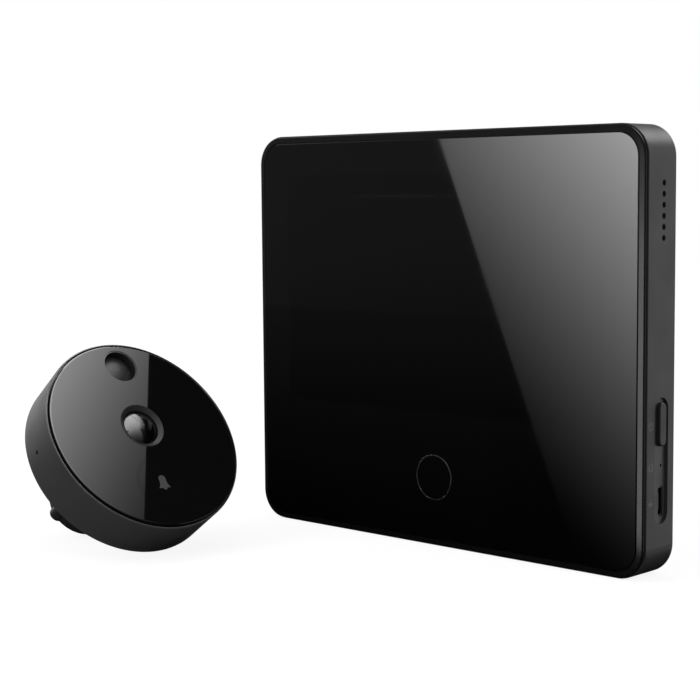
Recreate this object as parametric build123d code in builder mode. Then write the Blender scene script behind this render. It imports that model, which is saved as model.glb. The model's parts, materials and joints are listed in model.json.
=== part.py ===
from build123d import *
import math
import os

os.makedirs("parts", exist_ok=True)

# General fits and the overrun of cuts
overrun = 1.0
running = 0.08
glue_gap = 0.1
free_gap = 0.3

# Monitor shell
body_width = 142.0
body_height = 118.0
body_depth = 14.4
body_corner = 8.6
wall = 2.0
back_skin = 1.6
back_round = 1.0
rim_depth = 1.3
rim_break = 0.15

# Cover glass and its tape
glass_inset = 2.2
glass_thickness = 1.1
glass_bevel = 0.25
tape_thickness = 0.2
tape_width = 3.0

# Bezel frame, from the glass edge down to the groove
bezel_lip_inset = 2.15
bezel_lip_depth = 0.15
bezel_foot_inset = 0.3
bezel_foot_height = 0.45
bezel_round = 0.5
groove = 0.5
lip_wall = 1.0
frame_thickness = 2.3
frame_corner = 2.0

# Display behind the dark window in the glass
window_side_gap = 12.7
window_top_gap = 11.7
window_low = 38.4
display_margin = 0.5
display_corner = 1.0
panel_thickness = 1.6
backlight_thickness = 1.7
ribbon_width = 20.0
ribbon_thickness = 0.2
ribbon_reach = 12.0

# Home button, left to right in the middle of the monitor
home_height = 19.8
home_ring_radius = 6.65
home_ring_wall = 0.5
home_ring_round = 0.15
home_ring_flange = 0.9
home_ring_foot = 0.6
home_flange_radius = 7.2
home_flange_thickness = 0.6
home_stem_radius = 1.6
home_travel = 0.4
home_room = 1.0

# Switches that the buttons press
switch_size = 6.0
switch_height = 1.8
switch_well_depth = 1.4
side_switch_width = 2.5
side_switch_reach = 3.4

# Main board
board_thickness = 1.0
board_clearance = 1.6
board_left = 30.0
board_right_gap = 2.8
board_low = 13.5
board_high = 64.0
board_corner = 1.5
post_radius = 2.2
screw_core_radius = 0.8
screw_head_radius = 1.9
screw_head_height = 1.0
cross_length = 2.0
cross_width = 0.45
cross_depth = 0.6
board_screw_length = 5.0
post_inset = 3.5
post_right_inset = 8.0
post_top_inset = 6.0

# Chips and small parts on the back of the board
processor_size = 14.0
processor_height = 1.2
processor_across = 14.0
processor_up = 38.0
memory_size = 10.0
memory_height = 1.0
memory_across = 33.0
memory_up = 38.0
wireless_width = 13.0
wireless_height = 16.0
wireless_thickness = 2.0
wireless_across = -17.0
wireless_up = 40.0
capacitor_width = 2.4
capacitor_length = 3.6
capacitor_height = 1.5
capacitor_pitch = 5.0
capacitor_count = 6
capacitor_across = -4.0
capacitor_up = 26.0
antenna_thickness = 0.3
antenna_width = 6.0
antenna_length = 40.0
antenna_top_gap = 38.0

# Battery above the board
battery_width = 60.0
battery_board_gap = 10.0
battery_top_gap = 8.0
battery_room = 1.8
battery_corner = 1.5
battery_tape_side_gap = 5.0
battery_tape_height = 14.0
battery_tape_lift = 2.0

# Speaker behind the row of six holes
speaker_hole_radius = 0.8
speaker_hole_count = 6
speaker_hole_pitch = 2.82
speaker_top_gap = 22.3
speaker_behind_middle = 0.4
speaker_length = 20.0
speaker_back_gap = 1.35
speaker_thickness = 4.0
speaker_rim = 1.0
cone_thickness = 0.4
cone_recess = 0.6
magnet_thickness = 1.8
magnet_length = 10.0
magnet_side_gap = 0.5
mesh_thickness = 0.2

# Long shallow recess in the right side, and the power key in it
recess_length = 33.1
recess_width = 6.2
recess_up = 31.05
recess_behind_rim = 6.55
recess_front_drop = 0.15
recess_rear_drop = 0.8
key_length = 11.3
key_width = 3.0
key_up = 40.65
key_behind_rim = 6.3
key_stand = 0.8
key_round = 0.35
key_flange = 1.0
key_flange_thickness = 0.8
key_travel = 0.6
key_post_radius = 0.8

# Reset pinhole and plunger
reset_up = 29.8
pinhole_radius = 0.45
reset_radius = 0.65
reset_travel = 0.25
reset_switch_size = 4.0
reset_stand = 0.8

# Micro USB socket
port_up = 20.4
port_length = 8.0
port_width = 2.6
port_corner = 0.9
port_shell = 0.25
port_slack = 0.15
port_reach = 6.0
port_mouth_drop = 0.9
tongue_length = 4.4
tongue_thickness = 0.6
solder = 0.07

# Microphone of the monitor, at the bottom edge
mic_across = 24.0
mic_radius = 2.0
mic_height = 1.4
mic_hole_radius = 0.5

# Socket for the ribbon cable of the outdoor unit
socket_width = 14.0
socket_height = 5.0
socket_room = 2.4
socket_wall = 1.2
socket_floor = 1.0

# Corner bosses and screws that close the monitor
boss_across_inset = 9.0
boss_up_inset = 7.5
boss_radius = 2.8
boss_end = 9.0
close_core_radius = 1.0
close_head_radius = 1.9
close_head_height = 1.0

# Steel mounting plate hooked into the back
plate_width = 96.0
plate_height = 68.0
plate_thickness = 1.4
plate_corner = 4.0
plate_travel = 4.0
floor_thickness = 1.3
hook_across = 36.0
hook_up = 22.0
hook_width = 8.0
hook_thickness = 1.4
hook_toe = 3.0
hook_toe_thickness = 1.2
cable_window_width = 22.0
cable_window_height = 24.0
cable_window_corner = 3.0

# Door tube of the outdoor unit; the plate's holes follow it
tube_radius = 10.0
tube_bore = 6.0
tube_length = 26.8
tube_break = 0.3
tube_flange_width = 3.0
tube_flange_thickness = 1.4
ear_radius = 2.3
ear_length = 8.0
ear_web = 1.65
ear_angle = 105.0
ear_hole_radius = 1.25
ear_hole_depth = 7.0
plate_hole_radius = 1.7

# Outdoor unit, round housing
unit_radius = 30.5
unit_taper = 0.45
unit_depth = 15.6
unit_wall = 2.0
unit_back = 2.0
unit_back_break = 0.4
unit_rim_break = 0.25
unit_rim_drop = 0.5
unit_rim_land = 0.15
unit_groove = 0.5
unit_glass_thickness = 2.0
unit_glass_round = 0.5
unit_seal_thickness = 0.2
unit_seal_width = 1.0

# Where the outdoor unit lies, and how its face is turned
unit_across = -72.3
unit_along = -62.7
unit_heading = 87.0
unit_roll = 3.8

# Lens in the middle of the outdoor face
lens_rise = 2.5
lens_ring_radius = 6.9
lens_ring_wall = 1.4
lens_ring_slope = 0.9
lens_ring_land = 0.15
lens_ring_depth = 2.6
dome_radius = 5.2
dome_drop = 1.1
dome_height = 1.9
dome_skirt = 1.0
barrel_radius = 5.0
barrel_wall = 1.0
barrel_base_size = 13.0
barrel_base_height = 2.0
element_gap = 0.25
element_count = 3
sensor_size = 8.0
sensor_thickness = 0.6

# Motion sensor above the lens
motion_edge_gap = 7.9
motion_radius = 5.35
motion_wall = 0.3
motion_depth = 3.4
motion_sink = 0.2
motion_dome_height = 1.3
motion_skirt = 0.5
motion_can_radius = 3.8

# Infrared lamps beside the lens, hidden by the dark glass
lamp_across = 13.0
lamp_radius = 1.5
lamp_height = 4.0

# Doorbell button below the lens
bell_edge_gap = 5.7
bell_lens_gap = 3.3
bell_ring_wall = 0.65
bell_flange = 0.9
bell_flange_thickness = 0.7
bell_stem_radius = 1.5
bell_travel = 0.5
bell_switch_room = 1.8
bell_well_floor = 1.2
symbol_width = 4.2
symbol_height = 4.8
symbol_depth = 0.12
symbol_slack = 0.03
shoulder_share = 0.27
hem_share = 0.33
arc_foot_share = 0.18
bend_share = 0.7
clapper_share = 0.15

# Outdoor board, posts, microphone, socket and gasket
unit_board_gap = 2.25
unit_board_share = 0.3
unit_board_thickness = 1.0
unit_post_inset = 3.8
unit_post_count = 3
unit_screw_tip_gap = 1.0
unit_mic_angle = 88.0
unit_mic_lift = 6.1
unit_mic_radius = 1.6
unit_mic_length = 1.3
unit_mic_hole = 0.62
unit_mic_gap = 0.15
unit_socket_width = 8.0
unit_socket_height = 4.2
unit_socket_gap = 0.9
gasket_edge_gap = 3.55
gasket_width = 6.5
gasket_thickness = 0.6
gasket_sink = 0.05

# Stations behind the front of the glass, all measured backwards
front = -body_depth / 2
mid_height = body_height / 2
window_width = body_width - 2 * window_side_gap
window_height = body_height - window_top_gap - window_low
window_centre_height = window_low + window_height / 2
ledge = glass_thickness + tape_thickness
foot = rim_depth - groove
frame_back = ledge + frame_thickness
panel_back = ledge + panel_thickness
backlight_back = panel_back + backlight_thickness
board_front = backlight_back + board_clearance
board_back = board_front + board_thickness
back_inside = body_depth - back_skin
plate_front = body_depth - plate_thickness
floor_back = plate_front - free_gap
floor_front = floor_back - floor_thickness
side = body_width / 2
plate_up = mid_height
board_right = side - wall - board_right_gap


def facing(depth):
    """The plane parallel to the screen at a depth behind the glass, looking at the viewer."""
    return Plane(origin=(0, front + depth, 0), x_dir=(1, 0, 0), z_dir=(0, -1, 0))


def sideways(inset):
    """The plane parallel to the right side, at an inset from it, looking outwards."""
    return Plane(origin=(side - inset, 0, 0), x_dir=(0, 1, 0), z_dir=(1, 0, 0))


def between(near, far, spare=0):
    """The plane and reach of a piece between two depths, with a spare length at each end."""
    return facing(far + spare), far - near + 2 * spare


def across(outer, inner, spare=0):
    """The plane and reach of a piece between two insets from the right side."""
    return sideways(inner + spare), inner - outer + 2 * spare


def block(plane, reach, width, height, corner, centre=(0, 0), mode=Mode.ADD):
    """A block with round corners, raised from a plane."""
    with BuildSketch(plane) as face:
        with Locations(centre):
            RectangleRounded(width, height, corner)
    extrude(face.sketch, amount=reach, mode=mode)


def cuboid(plane, reach, width, height, centre=(0, 0), mode=Mode.ADD):
    """A plain block, raised from a plane."""
    with BuildSketch(plane) as face:
        with Locations(centre):
            Rectangle(width, height)
    extrude(face.sketch, amount=reach, mode=mode)


def rod(plane, reach, radius, centre=(0, 0), mode=Mode.ADD):
    """A round bar or hole, raised from a plane."""
    with BuildSketch(plane) as face:
        with Locations(centre):
            Circle(radius)
    extrude(face.sketch, amount=reach, mode=mode)


def hoop(plane, reach, outer, inner, mode=Mode.ADD):
    """A flat ring or a ring-shaped groove, raised from a plane."""
    with BuildSketch(plane) as face:
        Circle(outer)
        Circle(inner, mode=Mode.SUBTRACT)
    extrude(face.sketch, amount=reach, mode=mode)


def pill(plane, reach, length, width, centre=(0, 0), mode=Mode.ADD):
    """A bar or hole with round ends that stands upright, raised from a plane."""
    with BuildSketch(plane) as face:
        with Locations(centre):
            SlotOverall(length, width, rotation=90)
    extrude(face.sketch, amount=reach, mode=mode)


def cross(plane, reach, centre):
    """The cross-shaped recess in the head of a screw, cut from a plane."""
    with BuildSketch(plane) as face:
        with Locations(centre):
            Rectangle(cross_length, cross_width)
            Rectangle(cross_width, cross_length)
    extrude(face.sketch, amount=reach, mode=Mode.SUBTRACT)


def slab(near, far, inset, mode=Mode.ADD):
    """The monitor's outline, drawn in by an inset, between two depths."""
    extrude(outline(far, inset), amount=far - near, mode=mode)


def outline(depth, inset):
    """The monitor's outline at a depth, drawn in by an inset."""
    with BuildSketch(facing(depth)) as face:
        with Locations((0, mid_height)):
            RectangleRounded(
                body_width - 2 * inset,
                body_height - 2 * inset,
                body_corner - inset,
            )
    return face.sketch


def turned(plane, corners):
    """A round piece about a plane's normal, from corners of radius and height."""
    section = Plane(origin=plane.origin, x_dir=plane.x_dir, z_dir=-plane.y_dir)
    with BuildSketch(section) as profile:
        with BuildLine():
            Polyline(*corners, close=True)
        make_face()
    revolve(profile.sketch, axis=Axis(plane.origin, plane.z_dir))


def domed(plane, radius, skirt_low, skirt_high, rise):
    """A round piece with a spherical top, about a plane's normal."""
    ball = (radius**2 + rise**2) / (2 * rise)
    half_turn = math.asin(min(radius / ball, 1)) / 2
    apex = skirt_high + rise
    middle = (ball * math.sin(half_turn), apex - ball + ball * math.cos(half_turn))
    section = Plane(origin=plane.origin, x_dir=plane.x_dir, z_dir=-plane.y_dir)
    with BuildSketch(section) as profile:
        with BuildLine():
            Polyline((0, apex), (0, skirt_low), (radius, skirt_low), (radius, skirt_high))
            ThreePointArc((radius, skirt_high), middle, (0, apex))
        make_face()
    revolve(profile.sketch, axis=Axis(plane.origin, plane.z_dir))


def finish(builder, name):
    """Labels a piece and writes it."""
    builder.part.label = name
    export_step(builder.part, f"parts/{name}.step")


# Places that several monitor pieces share
board_width = board_left + board_right
board_height = board_high - board_low
board_centre = ((board_right - board_left) / 2, (board_high + board_low) / 2)
board_posts = [
    (-board_left + post_inset, board_low + post_inset),
    (-board_left + post_inset, board_high - post_inset),
    (board_right - post_right_inset, board_low + post_inset),
    (board_right - post_inset, board_high - post_top_inset),
]
boss_across = side - boss_across_inset
close_bosses = [
    (x, z)
    for x in (-boss_across, boss_across)
    for z in (boss_up_inset, body_height - boss_up_inset)
]
port_depth = board_back + solder + port_width / 2 - port_slack / 2
port_place = (front + port_depth, port_up)
reset_place = (front + port_depth, reset_up)
key_place = (front + rim_depth + key_behind_rim, key_up)
recess_depth = rim_depth + recess_behind_rim
mic_place = (mic_across, front + board_back + mic_radius)
close_head_front = body_depth - close_head_height - free_gap
display_width = window_width + 2 * display_margin
display_height = window_height + 2 * display_margin
opening_width = display_width + 2 * free_gap
opening_height = display_height + 2 * free_gap
home_plane = Plane(origin=(0, front, home_height), x_dir=(1, 0, 0), z_dir=(0, -1, 0))
home_frame_radius = home_ring_radius + home_ring_flange + home_room
speaker_up = body_height - speaker_top_gap
speaker_depth = (rim_depth + body_depth) / 2 + speaker_behind_middle
speaker_width = 2 * (back_inside - speaker_depth - speaker_back_gap)
speaker_reach = (speaker_hole_count - 1) * speaker_hole_pitch
speaker_holes = [
    speaker_up - speaker_reach / 2 + i * speaker_hole_pitch for i in range(speaker_hole_count)
]
speaker_face = wall + mesh_thickness + 2 * glue_gap
key_inner = wall + free_gap
side_switch_face = side - board_right
plate_room = plate_travel + free_gap
ear_pitch_radius = tube_bore + ear_hole_radius + ear_web
hooks = [
    (x, plate_up + z) for x in (-hook_across, hook_across) for z in (-hook_up, hook_up)
]

# Rear housing: a tray with the side walls, open to the front
pan_height = plate_height + plate_room + free_gap
pan_centre = (0, plate_up + (free_gap - plate_room) / 2)
pan_width = plate_width + 2 * free_gap
slot_height = hook_thickness + plate_room + free_gap
slot_shift = (free_gap - plate_room) / 2
post_foot = back_inside + back_skin / 2
recess_slope = (recess_rear_drop - recess_front_drop) / recess_width
recess_drop = (recess_rear_drop + recess_front_drop) / 2
with BuildPart() as rear_housing:
    slab(rim_depth, body_depth, 0)
    fillet(rear_housing.faces().sort_by(Axis.Y)[-1].edges(), back_round)
    chamfer(rear_housing.faces().sort_by(Axis.Y)[0].edges(), rim_break)
    slab(rim_depth - overrun, back_inside, wall, Mode.SUBTRACT)
    slab(rim_depth - overrun, frame_back + glue_gap, lip_wall, Mode.SUBTRACT)
    # Raised pan inside, behind which the mounting plate sits
    block(
        *between(floor_front, post_foot),
        pan_width + 2 * floor_thickness,
        pan_height + 2 * floor_thickness,
        plate_corner + floor_thickness,
        pan_centre,
    )
    for place in board_posts:
        rod(*between(board_back, post_foot), post_radius, place)
    for place in close_bosses:
        rod(*between(boss_end, post_foot), boss_radius, place)
    block(
        *between(floor_back, body_depth + overrun),
        pan_width,
        pan_height,
        plate_corner,
        pan_centre,
        Mode.SUBTRACT,
    )
    # Slots for the plate's hooks, and the window for the ribbon cable
    for x, z in hooks:
        cuboid(
            *between(floor_front, floor_back, overrun),
            hook_width + 2 * free_gap,
            slot_height,
            (x, z + slot_shift),
            Mode.SUBTRACT,
        )
    block(
        *between(floor_front, floor_back, overrun),
        cable_window_width,
        cable_window_height,
        cable_window_corner,
        (0, plate_up),
        Mode.SUBTRACT,
    )
    # Blind holes of the board screws, and sunk holes of the closing screws
    for place in board_posts:
        rod(
            *between(board_back - overrun, board_front + board_screw_length),
            screw_core_radius + running / 2,
            place,
            Mode.SUBTRACT,
        )
    for place in close_bosses:
        rod(*between(boss_end, body_depth, overrun), close_core_radius + running, place, Mode.SUBTRACT)
        rod(
            *between(close_head_front, body_depth + overrun),
            close_head_radius + glue_gap,
            place,
            Mode.SUBTRACT,
        )
    # Speaker holes in the right side
    for z in speaker_holes:
        place = (front + speaker_depth, z)
        rod(*across(0, wall, overrun), speaker_hole_radius, place, Mode.SUBTRACT)
    # Long recess whose floor slopes towards the back, and the openings in it
    recess_floor = Plane(
        origin=(side - recess_drop, front + recess_depth, recess_up),
        x_dir=(-recess_slope, 1, 0),
        z_dir=(1, recess_slope, 0),
    )
    pill(recess_floor, wall + overrun, recess_length, recess_width, mode=Mode.SUBTRACT)
    pill(
        *across(0, wall, overrun),
        key_length + 2 * running,
        key_width + 2 * running,
        key_place,
        Mode.SUBTRACT,
    )
    rod(*across(0, wall, overrun), pinhole_radius, reset_place, Mode.SUBTRACT)
    block(*across(0, wall, overrun), port_width, port_length, port_corner, port_place, Mode.SUBTRACT)
    # Microphone hole in the bottom edge
    rod(Plane.XY.offset(-overrun), wall + 2 * overrun, mic_hole_radius, mic_place, Mode.SUBTRACT)
finish(rear_housing, "rear_housing")

# Bezel frame: sloping ring round the glass, plate behind it and four screw bosses
slope_foot = foot - bezel_foot_height
with BuildPart() as bezel_frame:
    slab(slope_foot, foot, bezel_foot_inset)
    loft([outline(slope_foot, bezel_foot_inset), outline(bezel_lip_depth, bezel_lip_inset)])
    fillet(bezel_frame.edges().group_by(Axis.Y)[2], bezel_round)
    slab(foot, frame_back, lip_wall + glue_gap)
    slab(-overrun, ledge, glass_inset - glue_gap, Mode.SUBTRACT)
    block(
        *between(ledge, frame_back, overrun),
        opening_width,
        opening_height,
        frame_corner,
        (0, window_centre_height),
        Mode.SUBTRACT,
    )
    rod(*between(ledge, frame_back, overrun), home_frame_radius, (0, home_height), Mode.SUBTRACT)
    for place in close_bosses:
        rod(*between(ledge, boss_end - glue_gap), boss_radius, place)
        rod(
            *between(frame_back, boss_end + overrun),
            close_core_radius + running / 2,
            place,
            Mode.SUBTRACT,
        )
finish(bezel_frame, "bezel_frame")

# Cover glass with the hole for the home button
with BuildPart() as cover_glass:
    slab(0, glass_thickness, glass_inset)
    chamfer(cover_glass.faces().sort_by(Axis.Y)[0].edges(), glass_bevel)
    rod(
        *between(0, glass_thickness, overrun),
        home_ring_radius + glue_gap / 2,
        (0, home_height),
        Mode.SUBTRACT,
    )
finish(cover_glass, "cover_glass")

# Adhesive frame between glass and bezel frame, with a bridge under the window
with BuildPart() as glass_tape:
    slab(glass_thickness, ledge, glass_inset + glue_gap)
    block(
        *between(glass_thickness, ledge, overrun),
        body_width - 2 * (glass_inset + tape_width),
        opening_height,
        frame_corner,
        (0, window_centre_height),
        Mode.SUBTRACT,
    )
    rod(*between(glass_thickness, ledge, overrun), home_frame_radius, (0, home_height), Mode.SUBTRACT)
finish(glass_tape, "glass_tape")

# Liquid crystal panel and the backlight tray behind it
display_place = (0, window_centre_height)
with BuildPart() as display_panel:
    block(*between(ledge, panel_back), display_width, display_height, display_corner, display_place)
finish(display_panel, "display_panel")

with BuildPart() as backlight_unit:
    block(
        *between(panel_back, backlight_back),
        display_width,
        display_height,
        display_corner,
        display_place,
    )
finish(backlight_unit, "backlight_unit")

# Ribbon from the backlight's back down to the front of the board
ribbon_top = board_high - post_top_inset
ribbon_step = ribbon_reach / 3
ribbon_high = front + backlight_back
ribbon_low = front + board_front - ribbon_thickness
ribbon_front_side = [
    (ribbon_high, ribbon_top),
    (ribbon_high, ribbon_top - ribbon_step),
    (ribbon_low, ribbon_top - 2 * ribbon_step),
    (ribbon_low, ribbon_top - ribbon_reach),
]
ribbon_back_side = [(y + ribbon_thickness, z) for y, z in reversed(ribbon_front_side)]
with BuildPart() as display_ribbon:
    with BuildSketch(sideways(side + ribbon_width / 2)):
        with BuildLine():
            Polyline(*ribbon_front_side, *ribbon_back_side, close=True)
        make_face()
    extrude(amount=ribbon_width)
finish(display_ribbon, "display_ribbon")

# Home button: fixed ring in the glass, press cap with a flange and a stem, and its switch
ring_inner = home_ring_radius - home_ring_wall
ring_outer = home_ring_radius + home_ring_flange
ring_step = glass_thickness + glue_gap / 2
ring_foot = glass_thickness + glue_gap + home_ring_foot
with BuildPart() as home_button_ring:
    turned(
        home_plane,
        [
            (ring_inner, 0),
            (home_ring_radius, 0),
            (home_ring_radius, -ring_step),
            (ring_outer, -ring_step),
            (ring_outer, -ring_foot),
            (ring_inner, -ring_foot),
        ],
    )
    fillet(home_button_ring.faces().sort_by(Axis.Y)[0].edges(), home_ring_round)
finish(home_button_ring, "home_button_ring")

cap_radius = ring_inner - running
cap_shoulder = ring_foot + free_gap
cap_back = cap_shoulder + home_flange_thickness
home_well_floor = board_front - switch_height + switch_well_depth
stem_end = home_well_floor - home_travel - glue_gap
with BuildPart() as home_button_cap:
    turned(
        home_plane,
        [
            (0, 0),
            (cap_radius, 0),
            (cap_radius, -cap_shoulder),
            (home_flange_radius, -cap_shoulder),
            (home_flange_radius, -cap_back),
            (home_stem_radius, -cap_back),
            (home_stem_radius, -stem_end),
            (0, -stem_end),
        ],
    )
finish(home_button_cap, "home_button_cap")

home_centre = (0, home_height)
with BuildPart() as home_button_switch:
    cuboid(*between(board_front - switch_height, board_front), switch_size, switch_size, home_centre)
    rod(
        *between(board_front - switch_height - overrun, home_well_floor),
        home_stem_radius + running,
        home_centre,
        Mode.SUBTRACT,
    )
finish(home_button_switch, "home_button_switch")

# Main board with its screw holes
with BuildPart() as main_board:
    block(*between(board_front, board_back), board_width, board_height, board_corner, board_centre)
    for place in board_posts:
        rod(
            *between(board_front, board_back, overrun),
            screw_core_radius + glue_gap,
            place,
            Mode.SUBTRACT,
        )
finish(main_board, "main_board")

# Board screws, driven from the front into the posts
board_screw_end = board_front + board_screw_length - glue_gap
with BuildPart() as board_screws:
    for place in board_posts:
        rod(*between(board_front - screw_head_height, board_front), screw_head_radius, place)
        rod(*between(board_front, board_screw_end), screw_core_radius, place)
        cross(facing(board_front - screw_head_height), -cross_depth, place)
finish(board_screws, "board_screws")

# Chips, shield can and capacitors on the back of the board
with BuildPart() as processor_chip:
    place = (processor_across, processor_up)
    cuboid(*between(board_back, board_back + processor_height), processor_size, processor_size, place)
finish(processor_chip, "processor_chip")

with BuildPart() as memory_chip:
    place = (memory_across, memory_up)
    cuboid(*between(board_back, board_back + memory_height), memory_size, memory_size, place)
finish(memory_chip, "memory_chip")

with BuildPart() as wireless_module:
    place = (wireless_across, wireless_up)
    wireless_top = board_back + wireless_thickness
    cuboid(*between(board_back, wireless_top), wireless_width, wireless_height, place)
finish(wireless_module, "wireless_module")

with BuildPart() as board_capacitors:
    capacitor_top = board_back + capacitor_height
    for i in range(capacitor_count):
        place = (capacitor_across + i * capacitor_pitch, capacitor_up)
        cuboid(*between(board_back, capacitor_top), capacitor_width, capacitor_length, place)
finish(board_capacitors, "board_capacitors")

# Antenna strip on the inside of the left wall
antenna_inset = body_width - wall - glue_gap
with BuildPart() as antenna_strip:
    cuboid(
        *across(antenna_inset - antenna_thickness, antenna_inset),
        antenna_width,
        antenna_length,
        (front + speaker_depth, body_height - antenna_top_gap),
    )
finish(antenna_strip, "antenna_strip")

# Battery, taped to the pan above the board
battery_low = board_high + battery_board_gap
battery_height = body_height - battery_top_gap - battery_low
battery_up = battery_low + battery_height / 2
battery_back = floor_front - tape_thickness
battery_front = backlight_back + battery_room
with BuildPart() as battery_cell:
    block(
        *between(battery_front, battery_back),
        battery_width,
        battery_height,
        battery_corner,
        (0, battery_up),
    )
finish(battery_cell, "battery_cell")

with BuildPart() as battery_tape:
    battery_tape_width = battery_width - 2 * battery_tape_side_gap
    place = (0, battery_low + battery_tape_lift + battery_tape_height / 2)
    cuboid(*between(battery_back, floor_front), battery_tape_width, battery_tape_height, place)
finish(battery_tape, "battery_tape")

# Speaker that faces the holes in the right side, with a dust mesh in front
speaker_place = (front + speaker_depth, speaker_up)
speaker_floor = speaker_face + speaker_thickness - speaker_rim
mesh_face = wall + glue_gap
speaker_inner_width = speaker_width - 2 * speaker_rim
speaker_inner_length = speaker_length - 2 * speaker_rim
with BuildPart() as speaker_mesh:
    cuboid(*across(mesh_face, mesh_face + mesh_thickness), speaker_width, speaker_length, speaker_place)
finish(speaker_mesh, "speaker_mesh")

with BuildPart() as speaker_frame:
    cuboid(
        *across(speaker_face, speaker_face + speaker_thickness),
        speaker_width,
        speaker_length,
        speaker_place,
    )
    cuboid(
        *across(speaker_face - overrun, speaker_floor),
        speaker_inner_width,
        speaker_inner_length,
        speaker_place,
        Mode.SUBTRACT,
    )
finish(speaker_frame, "speaker_frame")

with BuildPart() as speaker_cone:
    cuboid(
        *across(speaker_face + cone_recess, speaker_face + cone_recess + cone_thickness),
        speaker_inner_width - glue_gap,
        speaker_inner_length - glue_gap,
        speaker_place,
    )
finish(speaker_cone, "speaker_cone")

with BuildPart() as speaker_magnet:
    magnet_face = speaker_floor - magnet_thickness
    magnet_width = speaker_inner_width - 2 * magnet_side_gap
    cuboid(*across(magnet_face, speaker_floor), magnet_width, magnet_length, speaker_place)
finish(speaker_magnet, "speaker_magnet")

# Power key in the side slot, with a flange inside and a post to its switch
side_well = side_switch_face + switch_well_depth
side_switch_back = side_switch_face + side_switch_reach
side_switch_thickness = side_switch_width - 2 * solder
key_post_place = (front + board_back + side_switch_width / 2, key_up)
with BuildPart() as power_key:
    pill(*across(-key_stand, key_inner), key_length, key_width, key_place)
    fillet(power_key.faces().sort_by(Axis.X)[-1].edges(), key_round)
    pill(
        *across(key_inner, key_inner + key_flange_thickness),
        key_length + 2 * key_flange,
        key_width + 2 * key_flange,
        key_place,
    )
    rod(*across(key_inner, side_well - glue_gap - key_travel), key_post_radius, key_post_place)
finish(power_key, "power_key")

with BuildPart() as power_switch:
    cuboid(
        *across(side_switch_face, side_switch_back),
        side_switch_thickness,
        switch_size,
        key_post_place,
    )
    rod(
        *across(side_switch_face - overrun, side_well),
        key_post_radius + running,
        key_post_place,
        Mode.SUBTRACT,
    )
finish(power_switch, "power_switch")

# Reset plunger behind the pinhole, and its switch
with BuildPart() as reset_plunger:
    plunger_face = side_switch_face - reset_stand
    rod(*across(plunger_face, side_well - glue_gap - reset_travel), reset_radius, reset_place)
finish(reset_plunger, "reset_plunger")

with BuildPart() as reset_switch:
    cuboid(
        *across(side_switch_face, side_switch_back),
        side_switch_thickness,
        reset_switch_size,
        reset_place,
    )
    rod(
        *across(side_switch_face - overrun, side_well),
        reset_radius + running,
        reset_place,
        Mode.SUBTRACT,
    )
finish(reset_switch, "reset_switch")

# Micro USB socket: a steel shell with a closed back and a tongue
shell_length = port_length - 2 * port_slack
shell_width = port_width - port_slack
shell_corner = port_corner - port_slack / 2
shell_back = port_mouth_drop + port_reach
shell_floor = shell_back - port_shell
with BuildPart() as usb_socket:
    block(*across(port_mouth_drop, shell_back), shell_width, shell_length, shell_corner, port_place)
    block(
        *across(port_mouth_drop - overrun, shell_floor),
        shell_width - 2 * port_shell,
        shell_length - 2 * port_shell,
        shell_corner - port_shell,
        port_place,
        Mode.SUBTRACT,
    )
finish(usb_socket, "usb_socket")

with BuildPart() as usb_tongue:
    tongue_face = port_mouth_drop + port_shell + glue_gap
    cuboid(*across(tongue_face, shell_floor), tongue_thickness, tongue_length, port_place)
finish(usb_tongue, "usb_tongue")

# Microphone capsule over its hole in the bottom edge
with BuildPart() as microphone:
    rod(Plane.XY.offset(wall + glue_gap), mic_height, mic_radius, mic_place)
finish(microphone, "microphone")

# Socket for the outdoor unit's ribbon cable, open towards the back
socket_end = plate_front - socket_room
socket_place = (0, plate_up)
with BuildPart() as cable_socket:
    cuboid(*between(board_back, socket_end), socket_width, socket_height, socket_place)
    cuboid(
        *between(board_back + socket_floor, socket_end + overrun),
        socket_width - 2 * socket_wall,
        socket_height - 2 * socket_wall,
        socket_place,
        Mode.SUBTRACT,
    )
finish(cable_socket, "cable_socket")

# Screws that hold the housing to the bezel frame, sunk in the back
with BuildPart() as housing_screws:
    for place in close_bosses:
        rod(*between(close_head_front, close_head_front + close_head_height), close_head_radius, place)
        rod(*between(frame_back + glue_gap, close_head_front), close_core_radius, place)
        cross(facing(close_head_front + close_head_height), cross_depth, place)
finish(housing_screws, "housing_screws")

# Mounting plate with four hooks, a cable hole and the two screw holes of the door tube
toe_back = floor_front - free_gap
toe_front = toe_back - hook_toe_thickness
with BuildPart() as mounting_plate:
    block(*between(plate_front, body_depth), plate_width, plate_height, plate_corner, (0, plate_up))
    for x, z in hooks:
        toe_place = (x, z + hook_toe / 2)
        cuboid(*between(toe_front, plate_front), hook_width, hook_thickness, (x, z))
        cuboid(*between(toe_front, toe_back), hook_width, hook_thickness + hook_toe, toe_place)
    rod(*between(plate_front, body_depth, overrun), tube_bore, (0, plate_up), Mode.SUBTRACT)
    for x in (-ear_pitch_radius, ear_pitch_radius):
        place = (x, plate_up)
        rod(*between(plate_front, body_depth, overrun), plate_hole_radius, place, Mode.SUBTRACT)
finish(mounting_plate, "mounting_plate")

# The outdoor unit lies on its back rim and on the end of its tube, so its tilt follows from both
unit_back_radius = unit_radius - unit_taper
tilt = math.atan2(unit_back_radius - tube_radius, tube_length - tube_break + unit_back_break)
heading = math.radians(unit_heading)
roll = math.radians(unit_roll)
outward = Vector(
    math.cos(tilt) * math.sin(heading),
    -math.cos(tilt) * math.cos(heading),
    math.sin(tilt),
)
level = Vector(math.cos(heading), math.sin(heading), 0)
uphill = outward.cross(level)
face_right = level * math.cos(roll) - uphill * math.sin(roll)
face_up = uphill * math.cos(roll) + level * math.sin(roll)
unit_lift = unit_back_radius * math.cos(tilt) - unit_back_break * math.sin(tilt)
unit_origin = Vector(unit_across, unit_along, unit_lift)


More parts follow.
